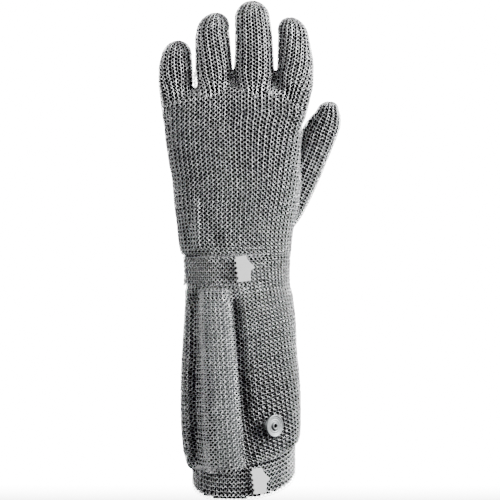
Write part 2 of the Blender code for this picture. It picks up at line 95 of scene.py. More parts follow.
fingerColumns = ("height", "left", "right", "front", "back")
fingerSquareness = 2.1
fingers = {
    "little_finger": {
        "table": (
            (112.0, -55.0, -33.0, -11.5, 12.5),
            (128.0, -57.0, -30.6, -10.5, 13.0),
            (142.0, -58.3, -31.7, -8.8, 14.6),
            (151.0, -58.2, -32.4, -7.4, 15.6),
            (160.0, -56.4, -33.2, -5.6, 16.2),
        ),
        "tip": (-43.4, 7.0, 172.4),
        "pairs": 16,                   # pairs of ring columns round the finger
        "gatherTop": 143.0,            # its columns are drawn together below about this height
        "twist": -0.09,                # how far they lean to +X on its front
    },
    "ring_finger": {
        "table": (
            (114.0, -32.0, -2.6, -13.8, 13.0),
            (130.0, -30.1, -2.3, -13.0, 13.2),
            (147.0, -30.6, -2.4, -11.2, 14.8),
            (162.0, -30.7, -3.4, -9.0, 16.6),
            (172.0, -30.8, -4.3, -7.4, 17.6),
            (180.0, -29.9, -5.0, -6.0, 18.2),
        ),
        "tip": (-15.0, 7.0, 193.4),
        "pairs": 18,
        "gatherTop": 152.0,
        "twist": -0.12,
    },
    "middle_finger": {
        "table": (
            (116.0, -1.9, 29.0, -14.4, 13.0),
            (132.0, -2.2, 28.9, -13.6, 13.4),
            (148.0, -1.9, 28.8, -12.0, 14.8),
            (165.0, -1.0, 28.0, -9.6, 16.6),
            (178.0, -0.9, 27.0, -7.6, 18.0),
            (188.5, -1.1, 25.6, -5.6, 18.8),
        ),
        "tip": (12.2, 7.2, 202.4),
        "pairs": 19,
        "gatherTop": 149.0,
        "twist": 0.0,
    },
    "index_finger": {
        "table": (
            (112.0, 27.6, 51.8, -13.0, 12.6),
            (127.0, 28.8, 55.6, -12.6, 12.8),
            (142.0, 29.5, 58.4, -11.6, 13.8),
            (156.0, 30.9, 58.2, -9.8, 15.2),
            (168.0, 31.2, 56.2, -8.0, 16.4),
            (177.0, 31.4, 54.4, -6.6, 17.0),
        ),
        "tip": (40.4, 6.4, 190.0),
        "pairs": 19,
        "gatherTop": 140.0,
        "twist": 0.19,
    },
}
thumb = {
    "table": (
        (24.0, 12.0, 38.0, 0.0, 20.0),
        (39.0, 20.6, 49.0, 1.0, 27.0),
        (57.0, 31.0, 58.4, 4.0, 31.0),
        (79.5, 41.0, 68.0, 8.0, 35.0),
        (94.0, 47.0, 74.0, 10.8, 37.2),
        (104.0, 49.0, 77.8, 13.0, 38.8),
        (110.0, 52.0, 79.4, 14.8, 39.6),
        (116.0, 56.6, 79.4, 17.4, 39.2),
        (120.5, 60.8, 77.9, 20.0, 37.6),
    ),
    "tip": (70.6, 29.0, 127.4),
    "pairs": 16,
    "ringsFrom": 24.6,                 # height of its lowest row, behind the palm's edge
    "reach": 2.2,
    "weave": {"spacing": 2.65, "lean": 24.0, "tilt": 28.0, "pitch": 5.2},
}
hem = {
    "bottom": -162.0, "top": -143.2, "left": -33.0, "right": 44.8,
    "front": -24.0, "back": 24.2, "squareness": 2.2,
    "runDown": 16.0, "runUp": 4.0,         # in the form its tube is this much longer at each end
}
crotches = {               # dark creases between the fingers: middle x and top
    "little": (-30.8, 133.5), "ring": (-2.2, 149.0), "middle": (29.2, 140.5),
}
crease = {                 # half widths at its foot and tip, and y of its front and back
    "bottom": 118.0, "foot": 2.8, "tip": 0.6, "front": -6.5, "frontTop": -1.5, "back": 10.2,
    "shoulder": 3.0,       # how far below its top the tip begins
}
form = {
    "voxel": 1.4, "smoothing": 5,              # the closed form that the rings lie on
    "shadeVoxel": 1.8, "shadeSmoothing": 3,      # the black sheet of painted shade behind them
    "shadeDepth": 1.3, "shadeWall": 0.35,
    "step": 2.0,                               # between the loops of every tube in it
}


# From 0 to 1, slow at both ends
def eased(share):
    share = np.clip(share, 0.0, 1.0)
    return share * share * (3.0 - 2.0 * share)


# A function of height that runs smoothly through a table's rows
def smoothTable(columns, table):
    table = np.array(table, float)
    knots, values = table[:, 0], table[:, 1:]
    step = np.diff(values, axis=0) / np.diff(knots)[:, None]
    slope = np.vstack([step[:1], np.zeros_like(step[1:]), step[-1:]])
    together = step[:-1] * step[1:]
    total = np.where(together > 0, step[:-1] + step[1:], 1.0)
    slope[1:-1] = np.where(together > 0, 2.0 * together / total, 0.0)

    def at(height):
        i = np.clip(np.searchsorted(knots, height) - 1, 0, len(knots) - 2)
        span = (knots[i + 1] - knots[i])[..., None]
        t = np.clip((height - knots[i])[..., None] / span, 0.0, 1.0)
        found = (
            values[i] * (1 + 2 * t) * (1 - t) ** 2
            + slope[i] * span * t * (1 - t) ** 2
            + values[i + 1] * t * t * (3 - 2 * t)
            + slope[i + 1] * span * t * t * (t - 1)
        )
        return {name: found[..., k] for k, name in enumerate(columns[1:])}

    return at


# x and y of a rounded section; turn is 0 at the front and grows towards +X
def sectionPoint(row, turn, squareness):
    power = 2.0 / squareness
    across, forward = np.sin(turn), np.cos(turn)
    x = (row["right"] + row["left"]) / 2
    x = x + (row["right"] - row["left"]) / 2 * np.sign(across) * np.abs(across) ** power
    y = (row["back"] + row["front"]) / 2
    y = y - (row["back"] - row["front"]) / 2 * np.sign(forward) * np.abs(forward) ** power
    return x, y


# A tube's points at heights and turns, closed by a dome between its last row and its tip
def tubeSurface(columns, shape, squareness=None):
    at = smoothTable(columns, shape["table"])
    top = shape["table"][-1][0]
    tip = shape["tip"]

    def point(height, turn):
        height, turn = np.broadcast_arrays(np.asarray(height, float), turn)
        level = np.minimum(height, top)
        row = at(level)
        x, y = sectionPoint(row, turn, row.get("squareness", squareness))
        rise = np.clip((height - top) / (tip[2] - top), 0.0, 1.0)
        spread = np.sqrt(1.0 - rise * rise)
        middleX = (row["left"] + row["right"]) / 2
        middleY = (row["front"] + row["back"]) / 2
        x = middleX + (tip[0] - middleX) * rise + (x - middleX) * spread
        y = middleY + (tip[1] - middleY) * rise + (y - middleY) * spread
        return np.stack([x, y, level + (tip[2] - top) * rise], -1)

    return point


# How far the folds lift the cuff's and the hand's front, at an x and a height
def foldRise(x, height):
    total = np.zeros(np.broadcast(x, height).shape)
    for fold in folds:
        fold = dict(zip(foldColumns, fold))
        share = (fold["top"] - height) / (fold["top"] - fold["bottom"])
        middle = fold["topX"] + share * (fold["bottomX"] - fold["topX"])
        fade = eased((fold["top"] - height) / foldFade) * eased((height - fold["bottom"]) / foldFade)
        total = total + fold["rise"] * fade * np.exp(-(((x - middle) / fold["width"]) ** 2))
    return total


# How far the cuff's slanted cut lifts a place
def slant(x, y, height):
    full = eased((sleeve["slantFrom"] - height) / (sleeve["slantFrom"] - sleeve["slantTo"]))
    curve = sleeve["slantCurve"] * np.maximum(x - sleeve["slantCurveFrom"], 0.0) ** 2
    return full * (sleeve["slantSide"] * x + sleeve["slantDepth"] * y + curve)


plainSleeve = tubeSurface(sleeve["columns"], sleeve)


# The sleeve with its folds and its slanted cut
def sleevePoint(height, turn):
    found = plainSleeve(height, turn)
    height, turn = np.broadcast_arrays(np.asarray(height, float), turn)
    found[..., 1] -= foldRise(found[..., 0], height) * eased(np.cos(turn) * 3.0)
    found[..., 2] += slant(found[..., 0], found[..., 1], height)
    return found


# The hem's plain tube under the same cut, for the form
def hemPoint(height, turn):
    height, turn = np.broadcast_arrays(np.asarray(height, float), turn)
    x, y = sectionPoint(hem, turn, hem["squareness"])
    return np.stack([x, y, height + slant(x, y, height)], -1)


fingerPoint = {name: tubeSurface(fingerColumns, f, fingerSquareness) for name, f in fingers.items()}
thumbPoint = tubeSurface(fingerColumns, thumb, fingerSquareness)


def unit(vectors):
    return vectors / np.maximum(np.linalg.norm(vectors, axis=-1, keepdims=True), 1e-9)


# Places on a surface with their outward normals and the directions round it and up it
def surfaceAt(point, height, turn):
    around = unit(point(height, turn + 0.004) - point(height, turn - 0.004))
    up = unit(point(height + 0.2, turn) - point(height - 0.2, turn))
    normal = unit(np.cross(around, up))
    return point(height, turn), normal, around, up


# The place and normal on a surface's front at an x and a z in the world
def frontPlace(point, x, z):
    turns = np.linspace(-1.4, 1.4, 561)
    height = z
    for _ in range(8):
        line = point(np.full_like(turns, height), turns)
        turn = np.interp(x, line[:, 0], turns)
        height += z - point(height, turn)[2]
    place, normal, _around, _up = surfaceAt(point, height, turn)
    return Vector(place), Vector(normal)


# Turns on the sleeve's front that stand at the given x
def frontTurns(height, x):
    turns = np.linspace(-math.pi / 2, math.pi / 2, 241)
    line = sleevePoint(np.full_like(turns, height), turns)
    return np.interp(x, line[:, 0], turns)


# A closed lofted body through a tube's loops, drawn in by a depth
def loopsMesh(point, heights, sides=120, depth=0.0):
    turn = np.linspace(0.0, math.tau, sides, endpoint=False)
    verts = []
    for height in heights:
        place, normal, _around, _up = surfaceAt(point, np.full(sides, height), turn)
        verts += [tuple(p) for p in place - normal * depth]
    faces = [tuple(reversed(range(sides)))]
    for k in range(len(heights) - 1):
        for i in range(sides):
            j = (i + 1) % sides
            faces.append((k * sides + i, k * sides + j, (k + 1) * sides + j, (k + 1) * sides + i))
    last = (len(heights) - 1) * sides
    faces.append(tuple(range(last, last + sides)))
    return verts, faces


# Heights up a tube, closing in towards its tip
def domeHeights(shape, start, step):
    top, tip = shape["table"][-1][0], shape["tip"][2]
    straight = np.arange(start, top, step)
    dome = top + (tip - top) * np.sin(np.linspace(0.0, math.pi / 2 * 0.97, 14))
    return np.concatenate([straight, dome])


# A mesh object from points in millimetres
def makeObject(name, verts, faces):
    mesh = bpy.data.meshes.new(name)
    mesh.from_pydata((np.array(verts) * mm).tolist(), [], faces)
    made = bpy.data.objects.new(name, mesh)
    bpy.context.scene.collection.objects.link(made)
    return made


# The object's mesh with its modifiers applied
def evaluated(made):
    bpy.context.view_layer.update()
    graph = bpy.context.evaluated_depsgraph_get()
    return bpy.data.meshes.new_from_object(made.evaluated_get(graph))


def dropObject(made):
    mesh = made.data
    bpy.data.objects.remove(made, do_unlink=True)
    if isinstance(mesh, bpy.types.Mesh) and mesh.users == 0:
        bpy.data.meshes.remove(mesh)


# Makes an object's modifiers and place part of its mesh, so that it sits at the origin
def settled(made):
    mesh = evaluated(made)
    mesh.transform(made.matrix_world)
    made.modifiers.clear()
    old = made.data
    made.data = mesh
    made.matrix_world = Matrix.Identity(4)
    mesh.name = made.name
    if isinstance(old, bpy.types.Mesh) and old.users == 0:
        bpy.data.meshes.remove(old)
    return made


# The web in a crease between two fingers, as a body that narrows to its top
def crotchBody(middle, top):
    c = crease
    shape = {
        "table": ((c["bottom"], middle - c["foot"], middle + c["foot"], c["front"], c["back"]),
                  (top - c["shoulder"], middle - c["tip"], middle + c["tip"], c["frontTop"], c["back"])),
        "tip": (middle, (c["frontTop"] + c["back"]) / 2, top),
    }
    point = tubeSurface(fingerColumns, shape, fingerSquareness)
    return loopsMesh(point, domeHeights(shape, c["bottom"], form["step"]), 32)


# The whole glove as one closed skin, its joins rounded off
def blendedForm(voxel, smoothing, depth=0.0):
    verts, faces = [], []
    heights = domeHeights(sleeve, sleeve["bottom"], form["step"])
    bodies = [loopsMesh(sleevePoint, heights, depth=depth)]
    if depth > 0:
        bodies += [crotchBody(*crotch) for crotch in crotches.values()]
    heights = np.arange(hem["bottom"] - hem["runDown"], hem["top"] + hem["runUp"], form["step"])
    bodies.append(loopsMesh(hemPoint, heights, depth=depth))
    for name, shape in fingers.items():
        heights = domeHeights(shape, shape["table"][0][0], form["step"])
        bodies.append(loopsMesh(fingerPoint[name], heights, 64, depth))
    heights = domeHeights(thumb, thumb["table"][0][0], form["step"])
    bodies.append(loopsMesh(thumbPoint, heights, 64, depth))
    for bodyVerts, bodyFaces in bodies:
        start = len(verts)
        verts += bodyVerts
        faces += [tuple(i + start for i in face) for face in bodyFaces]
    made = makeObject("form", verts, faces)
    work = bmesh.new()
    work.from_mesh(made.data)
    bmesh.ops.recalc_face_normals(work, faces=work.faces)
    work.to_mesh(made.data)
    work.free()
    remesh = made.modifiers.new("remesh", "REMESH")
    remesh.mode = "VOXEL"
    remesh.voxel_size = voxel * mm
    smooth = made.modifiers.new("smooth", "SMOOTH")
    smooth.factor = 0.5
    smooth.iterations = smoothing
    mesh = evaluated(made)
    dropObject(made)
    return mesh


# A mesh's points and point normals, in millimetres
def meshArrays(mesh):
    points = np.zeros(len(mesh.vertices) * 3)
    normals = np.zeros(len(mesh.vertices) * 3)
    mesh.vertices.foreach_get("co", points)
    mesh.vertices.foreach_get("normal", normals)
    return points.reshape(-1, 3) / mm, normals.reshape(-1, 3)


formMesh = blendedForm(form["voxel"], form["smoothing"])
formPoints, formNormals = meshArrays(formMesh)
formFaces = [tuple(p.vertices) for p in formMesh.polygons]
formTree = BVHTree.FromPolygons([Vector(p) for p in formPoints], formFaces)
formFaceNormals = np.array([formNormals[list(f)].mean(0) for f in formFaces])
print("form", len(formFaces), "faces", formPoints.min(0).round(1), formPoints.max(0).round(1))


# The closest place on the form to each point, the normal there, and how far it is
def nearestOnForm(points):
    places, normals, gaps = np.zeros_like(points), np.zeros_like(points), np.zeros(len(points))
    for k, point in enumerate(points):
        place, _normal, index, gap = formTree.find_nearest(point)
        places[k], normals[k], gaps[k] = place, formFaceNormals[index], gap
    return places, unit(normals), gaps


# Rings of round wire, welded shut. Neighbouring columns lean to opposite sides. A weave says how
# far apart a column's rings are, the degrees that they lean sideways and tilt up or down, and the
# distance between columns of the same lean at which they lean as much as that.
ring = {
    "radius": 1.42,        # centre of the wire
    "wire": 0.23,          # a three-sided wire of this radius looks 0.4 thick
    "segments": 8,
    "sides": 3,
    "sizeVariation": 0.02,
    "seed": 5,
}
scatter = {"angle": 4.0, "place": 0.08}      # how uneven the rings lie, in degrees and millimetres
tipInset = 0.02                              # a tube's last row stops this short of its tip


# How far along a line each of its points is
def runLengths(line):
    return np.concatenate([[0.0], np.cumsum(np.linalg.norm(np.diff(line, axis=0), axis=1))])


# Turns that stand at these shares of the way round a tube, by length
def evenTurns(point, height, fractions):
    turn = np.linspace(-math.pi, math.pi, 361)
    run = runLengths(point(height, turn))
    return np.interp(fractions % 1.0 * run[-1], run, turn)


# Heights half a spacing apart along a tube's sides
def evenHeights(point, low, high, spacing):
    height = np.linspace(low, high, 1200)
    sides = [point(height, np.full_like(height, turn)) for turn in (-math.pi / 2, math.pi / 2)]
    step = np.mean([np.linalg.norm(np.diff(side, axis=0), axis=1) for side in sides], axis=0)
    run = np.concatenate([[0.0], np.cumsum(step)])
    count = int(run[-1] / (spacing / 2))
    return np.interp(np.arange(count + 1) * spacing / 2, run, height)


# Where rings sit in upright columns round a tube; odd rows hold the columns between
def columnField(point, heights, pairs, drift=None, sag=None):
    rows = []
    for k, height in enumerate(heights):
        fraction = np.arange(k % 2, 2 * pairs, 2) / (2 * pairs)
        if drift:
            fraction = fraction + drift(height, fraction)
        turn = evenTurns(point, height, fraction)
        rows.append((turn, np.full(pairs, height), np.full(pairs, k % 2), np.full(pairs, k)))
    turn, height, odd, row = [np.concatenate(part) for part in zip(*rows)]
    if sag:
        height = height + sag(height, point(height, turn)[:, 0])
    place, normal, _around, up = surfaceAt(point, height, turn)
    return {"turn": turn, "height": height, "odd": odd, "row": row,
            "place": place, "normal": normal, "up": up, "closed": True}


# How far apart each row's rings are, pair to pair
def pitches(field):
    found = np.zeros(len(field["row"]))
    for k in np.unique(field["row"]):
        pick = np.nonzero(field["row"] == k)[0]
        place = field["place"][pick]
        if field["closed"]:
            found[pick] = np.linalg.norm(np.roll(place, -1, 0) - np.roll(place, 1, 0), axis=1) / 2
        else:
            found[pick] = np.linalg.norm(np.gradient(place, axis=0), axis=1)
    return found


# Centres and directions of rings in a weave; they lean more where they are pushed together
def lieInWeave(field, weave, pitch):
    upright = np.cos(np.radians(weave["lean"]))
    lean = np.arccos(np.clip(upright * pitch / weave["pitch"], 0.2, upright))
    lean = lean + np.radians(rng.normal(0.0, scatter["angle"], len(lean)))
    tilt = np.radians(weave["tilt"] + rng.normal(0.0, scatter["angle"], len(lean)))
    signed = (lean * np.where(field["odd"] == 1, -1.0, 1.0))[:, None]
    normal = field["normal"]
    up = unit(field["up"] - normal * (field["up"] * normal).sum(-1, keepdims=True))
    around = np.cross(up, normal)
    across = around * np.cos(signed) + normal * np.sin(signed)
    along = up * np.cos(tilt)[:, None] + normal * np.sin(tilt)[:, None]
    radius = weave.get("radius", ring["radius"])
    depth = ring["wire"] + radius * np.sin(lean)
    centres = field["place"] - normal * depth[:, None]
    centres = centres + rng.normal(0.0, scatter["place"], centres.shape)
    return {"centre": centres, "axis": unit(np.cross(across, along)), "across": across, "radius": radius}


# Adds a node, sets its properties and sockets, and links what feeds it
def addNode(tree, kind, settings=None, links=None):
    node = tree.nodes.new(kind)
    for name, value in (settings or {}).items():
        if isinstance(name, str) and hasattr(node, name):
            setattr(node, name, value)
        else:
            node.inputs[name].default_value = value
    for name, source in (links or {}).items():
        tree.links.new(source, node.inputs[name])
    return node


# The tree that sets a ring of wire at each place, turned by the place's own two directions
def ringTree():
    tree = bpy.data.node_groups.new("linkedRings", "GeometryNodeTree")
    sockets = (
        ("Places", "NodeSocketGeometry", None), ("Ring Radius", "NodeSocketFloat", 1.5 * mm),
        ("Wire Radius", "NodeSocketFloat", 0.3 * mm), ("Ring Segments", "NodeSocketInt", 8),
        ("Wire Sides", "NodeSocketInt", 3), ("Size Variation", "NodeSocketFloat", 0.02),
        ("Seed", "NodeSocketInt", 1), ("Finish", "NodeSocketMaterial", None),
    )
    for name, kind, value in sockets:
        socket = tree.interface.new_socket(name, in_out="INPUT", socket_type=kind)
        if value is not None:
            socket.default_value = value
    tree.interface.new_socket("Rings", in_out="OUTPUT", socket_type="NodeSocketGeometry")
    into = addNode(tree, "NodeGroupInput").outputs
    loop = addNode(tree, "GeometryNodeCurvePrimitiveCircle",
                   links={"Resolution": into["Ring Segments"], "Radius": into["Ring Radius"]})
    wire = addNode(tree, "GeometryNodeCurvePrimitiveCircle",
                   links={"Resolution": into["Wire Sides"], "Radius": into["Wire Radius"]})
    torus = addNode(tree, "GeometryNodeCurveToMesh",
                    links={"Curve": loop.outputs["Curve"], "Profile Curve": wire.outputs["Curve"]})
    places = addNode(tree, "GeometryNodeMeshToPoints", links={"Mesh": into["Places"]})
    axis = addNode(tree, "GeometryNodeInputNamedAttribute",
                   {"data_type": "FLOAT_VECTOR", "Name": "ringAxis"})
    across = addNode(tree, "GeometryNodeInputNamedAttribute",
                     {"data_type": "FLOAT_VECTOR", "Name": "ringAcross"})
    turned = addNode(tree, "FunctionNodeAxesToRotation", {"primary_axis": "Z", "secondary_axis": "X"},
                     {"Primary Axis": axis.outputs["Attribute"],
                      "Secondary Axis": across.outputs["Attribute"]})
    smallest = addNode(tree, "ShaderNodeMath", {"operation": "SUBTRACT", 0: 1.0},
                       {1: into["Size Variation"]})
    largest = addNode(tree, "ShaderNodeMath", {"operation": "ADD", 0: 1.0},
                      {1: into["Size Variation"]})
    size = addNode(tree, "FunctionNodeRandomValue", {"data_type": "FLOAT"},
                   {"Min": smallest.outputs[0], "Max": largest.outputs[0], "Seed": into["Seed"]})
    copies = addNode(tree, "GeometryNodeInstanceOnPoints", links={
        "Points": places.outputs["Points"], "Instance": torus.outputs["Mesh"],
        "Rotation": turned.outputs["Rotation"], "Scale": size.outputs["Value"]})
    shade = addNode(tree, "FunctionNodeRandomValue", {"data_type": "FLOAT"}, {"Seed": into["Seed"]})
    kept = addNode(tree, "GeometryNodeStoreNamedAttribute",
                   {"data_type": "FLOAT", "domain": "INSTANCE", "Name": "ringShade"},
                   {"Geometry": copies.outputs["Instances"], "Value": shade.outputs["Value"]})
    real = addNode(tree, "GeometryNodeRealizeInstances", links={"Geometry": kept.outputs["Geometry"]})
    smooth = addNode(tree, "GeometryNodeSetShadeSmooth", links={"Geometry": real.outputs["Geometry"]})
    finished = addNode(tree, "GeometryNodeSetMaterial", links={
        "Geometry": smooth.outputs["Geometry"], "Material": into["Finish"]})
    out = addNode(tree, "NodeGroupOutput")
    tree.links.new(finished.outputs["Geometry"], out.inputs["Rings"])
    return tree


# One piece of realized rings
def makeRings(name, lies, pick, finish):
    carrier = makeObject(name + "Places", lies["centre"][pick], [])
    for key, values in (("ringAxis", lies["axis"]), ("ringAcross", lies["across"])):
        held = carrier.data.attributes.new(key, "FLOAT_VECTOR", "POINT")
        held.data.foreach_set("vector", np.ascontiguousarray(values[pick], np.float32).ravel())
    nodes = carrier.modifiers.new("rings", "NODES")
    nodes.node_group = linkedRings
    settings = {
        "Ring Radius": lies["radius"] * mm, "Wire Radius": ring["wire"] * mm,
        "Ring Segments": ring["segments"], "Wire Sides": ring["sides"],
        "Size Variation": ring["sizeVariation"], "Seed": ring["seed"], "Finish": finish,
    }
    for item in linkedRings.interface.items_tree:
        if item.in_out == "INPUT" and item.name in settings:
            nodes[item.identifier] = settings[item.name]
    mesh = evaluated(carrier)
    dropObject(carrier)
    made = bpy.data.objects.new(name, mesh)
    mesh.name = name
    bpy.context.scene.collection.objects.link(made)
    print(name, int(np.sum(pick)), "rings", sum(len(p.vertices) - 2 for p in mesh.polygons), "triangles")
    return made


# An sRGB hex colour as linear RGBA
def linear(colour):
    parts = [int(colour[i:i + 2], 16) / 255 for i in (1, 3, 5)]
    return (*[p / 12.92 if p <= 0.04045 else ((p + 0.055) / 1.055) ** 2.4 for p in parts], 1.0)


# An empty material with one Principled shader
def newMaterial(name):
    made = bpy.data.materials.new(name)
    made.use_nodes = True
    made.node_tree.nodes.clear()
    shader = addNode(made.node_tree, "ShaderNodeBsdfPrincipled")
    out = addNode(made.node_tree, "ShaderNodeOutputMaterial")
    made.node_tree.links.new(shader.outputs[0], out.inputs["Surface"])
    return made, made.node_tree, shader


# Links a colour ramp between two tones to the shader, driven by a value from 0 to 1
def toneBetween(tree, shader, value, dark, light):
    tone = addNode(tree, "ShaderNodeValToRGB", links={"Fac": value})
    tone.color_ramp.elements[0].color = linear(dark)
    tone.color_ramp.elements[1].color = linear(light)
    tree.links.new(tone.outputs["Color"], shader.inputs["Base Color"])
    return tone


# Stainless wire, welded and barrel tumbled: soft bright lines along each ring, some rings greyer
def tumbledRingSteel():
    made, tree, shader = newMaterial("tumbled stainless wire")
    spot = addNode(tree, "ShaderNodeTexCoord")
    grain = addNode(tree, "ShaderNodeTexNoise", {"Scale": 1 / (1.1 * mm), "Detail": 3.0},
                    {"Vector": spot.outputs["Object"]})
    ringShade = addNode(tree, "ShaderNodeAttribute", {"attribute_name": "ringShade"})
    mixed = addNode(tree, "ShaderNodeMath", {"operation": "MULTIPLY_ADD", 1: 0.5},
                    {0: grain.outputs["Fac"], 2: ringShade.outputs["Fac"]})
    toneBetween(tree, shader, mixed.outputs[0], "#C4C6C8", "#F2F2F3")
    rough = addNode(tree, "ShaderNodeMapRange", {"To Min": 0.32, "To Max": 0.44},
                    {"Value": grain.outputs["Fac"]})
    tree.links.new(rough.outputs["Result"], shader.inputs["Roughness"])
    shader.inputs["Metallic"].default_value = 1.0
    return made


# The shadow inside the mesh wall, drawn as a dull black sheet so that the holes read dark
def paintedShadeSheet():
    made, tree, shader = newMaterial("painted shade behind the rings")
    spot = addNode(tree, "ShaderNodeTexCoord")
    grain = addNode(tree, "ShaderNodeTexNoise", {"Scale": 1 / (1.6 * mm)},
                    {"Vector": spot.outputs["Object"]})
    toneBetween(tree, shader, grain.outputs["Fac"], "#040404", "#0B0B0C")
    shader.inputs["Roughness"].default_value = 0.95
    shader.inputs["Specular IOR Level"].default_value = 0.0
    return made


# Sheet stainless, blanked and rubbed on a belt: a pale satin face with fine lines across it
def satinPlateSteel():
    made, tree, shader = newMaterial("belt satin stainless plate")
    spot = addNode(tree, "ShaderNodeTexCoord")
    stretched = addNode(tree, "ShaderNodeMapping", {"Scale": (1.0, 1.0, 14.0)},
                        {"Vector": spot.outputs["Object"]})
    lines = addNode(tree, "ShaderNodeTexNoise", {"Scale": 1 / (4.0 * mm), "Detail": 4.0},
                    {"Vector": stretched.outputs["Vector"]})
    toneBetween(tree, shader, lines.outputs["Fac"], "#EEEEEE", "#FDFDFD")
    rough = addNode(tree, "ShaderNodeMapRange", {"To Min": 0.86, "To Max": 0.96},
                    {"Value": lines.outputs["Fac"]})
    tree.links.new(rough.outputs["Result"], shader.inputs["Roughness"])
    bump = addNode(tree, "ShaderNodeBump", {"Strength": 0.15, "Distance": 0.05 * mm},
                   {"Height": lines.outputs["Fac"]})
    tree.links.new(bump.outputs["Normal"], shader.inputs["Normal"])
    shader.inputs["Metallic"].default_value = 1.0
    return made


# Pressed and tumbled stainless: a grey satin with small handling marks
def pressedButtonSteel():
    made, tree, shader = newMaterial("pressed stainless button")
    spot = addNode(tree, "ShaderNodeTexCoord")
    marks = addNode(tree, "ShaderNodeTexNoise", {"Scale": 1 / (0.9 * mm), "Detail": 4.0},
                    {"Vector": spot.outputs["Object"]})
    toneBetween(tree, shader, marks.outputs["Fac"], "#505254", "#868889")
    rough = addNode(tree, "ShaderNodeMapRange", {"To Min": 0.36, "To Max": 0.54},
                    {"Value": marks.outputs["Fac"]})
    tree.links.new(rough.outputs["Result"], shader.inputs["Roughness"])
    bump = addNode(tree, "ShaderNodeBump", {"Strength": 0.25, "Distance": 0.06 * mm},
                   {"Height": marks.outputs["Fac"]})
    tree.links.new(bump.outputs["Normal"], shader.inputs["Normal"])
    shader.inputs["Metallic"].default_value = 1.0
    return made


# Extruded nylon strip, darkened to grey as painted shade from the mesh over it: a little waxy, with faint
# lines along its length
def nylonInPaintedShade():
    made, tree, shader = newMaterial("extruded nylon darkened as painted shade")
    spot = addNode(tree, "ShaderNodeTexCoord")
    stretched = addNode(tree, "ShaderNodeMapping", {"Scale": (9.0, 1.0, 1.0)},
                        {"Vector": spot.outputs["Object"]})
    streaks = addNode(tree, "ShaderNodeTexNoise", {"Scale": 1 / (9.0 * mm), "Detail": 3.0},
                      {"Vector": stretched.outputs["Vector"]})
    toneBetween(tree, shader, streaks.outputs["Fac"], "#3C3F41", "#585B5D")
    rough = addNode(tree, "ShaderNodeMapRange", {"To Min": 0.40, "To Max": 0.55},
                    {"Value": streaks.outputs["Fac"]})
    tree.links.new(rough.outputs["Result"], shader.inputs["Roughness"])
    shader.inputs["IOR"].default_value = 1.53
    return made


linkedRings = ringTree()
ringSteel = tumbledRingSteel()
paintedShadeBlack = paintedShadeSheet()
plateSteel = satinPlateSteel()
buttonSteel = pressedButtonSteel()
nylon = nylonInPaintedShade()


# Puts a piece on its body, hides the nodes it stands for and says which they are
def finishPiece(made, slot, *nodes):
    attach(made, "root")
    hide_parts(*nodes)
    print(made.name, "stands for", *nodes)


wristStrap = {
    "weave": {"spacing": 3.2, "lean": 22.0, "tilt": 24.0, "pitch": 3.4, "radius": 1.36},
    "low": -11.2, "high": 9.6, "rows": 12,
    "lift": 2.4,                           # how far it stands off the sleeve
    "fromTurn": 3.0, "toTurn": -196.0,     # degrees round the sleeve, from the clasp to its sewn end
    "lap": 1.5, "lapTurn": 3.0,            # the sleeve's rings run this far in under its edges
    "shadeLift": 0.7, "shadeInset": 0.9,     # the black band of painted shade stands off less and is narrower
}


# Which of the sleeve's rings the wrist strap hides
def underStrap(height, turn):
    w = wristStrap
    degrees = np.degrees(turn)
    covered = (degrees < w["fromTurn"] - w["lapTurn"]) | (degrees > w["toTurn"] + 360.0 + w["lapTurn"])
    return (height > w["low"] + w["lap"]) & (height < w["high"] - w["lap"]) & covered


pocket = {
    "weave": {"spacing": 3.3, "lean": 8.0, "tilt": -36.0, "pitch": 3.8},
    "columns": 8,
    "top": -13.4, "bottom": -141.8,            # height, and x of its corners
    "topLeft": -26.6, "topRight": -5.2, "bottomLeft": -22.4, "bottomRight": 5.8,
    "firstRow": 0.8,
    "foot": 1.0, "edgeLift": 2.6,              # how far its edge columns and the next ones stand off
    "lift": 2.4,                               # the rise over the stay
    "sink": 1.0,                               # odd rows lie lower
    "sideShoulder": 0.2, "footShoulder": 0.07, "topShoulder": 0.067,   # shares over which it rises
    "leftShare": 1.7,                          # its left side rises over a longer share
    "lapEnd": 1.5, "lapSide": 2.0,             # the sleeve's rings run this far in under its edges
}


# x of the pocket's left and right edges
def pocketEdges(height):
    share = (pocket["top"] - height) / (pocket["top"] - pocket["bottom"])
    left = pocket["topLeft"] + share * (pocket["bottomLeft"] - pocket["topLeft"])
    right = pocket["topRight"] + share * (pocket["bottomRight"] - pocket["topRight"])
    return left, right


# Which of the sleeve's rings the pocket hides
def underPocket(places, height, turn):
    left, right = pocketEdges(height)
    end, side = pocket["lapEnd"], pocket["lapSide"]
    inside = (height < pocket["top"] - end) & (height > pocket["bottom"] + end)
    x = places[:, 0]
    return inside & (np.abs(turn) < math.pi / 2) & (x > left + side) & (x < right - side)


seam = {                   # x and height of the line where the hand's weave meets the fingers'
    "line": ((-60.0, 122.0), (-44.0, 125.0), (-33.0, 133.0), (-17.0, 129.0), (-2.5, 138.0),
             (13.0, 130.0), (28.5, 134.0), (42.0, 123.0), (56.0, 121.0)),
    "gap": 0.3, "lap": 0.7,            # the fingers start above it, and the hand runs on past it
}


# Height of the line where the hand's weave meets the fingers'
def seamHeight(x):
    line = np.array(seam["line"])
    return np.interp(x, line[:, 0], line[:, 1])


# The place on the form straight in front of, or behind, each x and height
def castOnForm(x, height, back, place):
    found = place.copy()
    for k in range(len(x)):
        side = 1.0 if back[k] else -1.0
        hit = formTree.ray_cast(Vector((x[k], side * 80.0, height[k])), Vector((0.0, -side, 0.0)))[0]
        if hit is not None:
            found[k] = hit
    return found


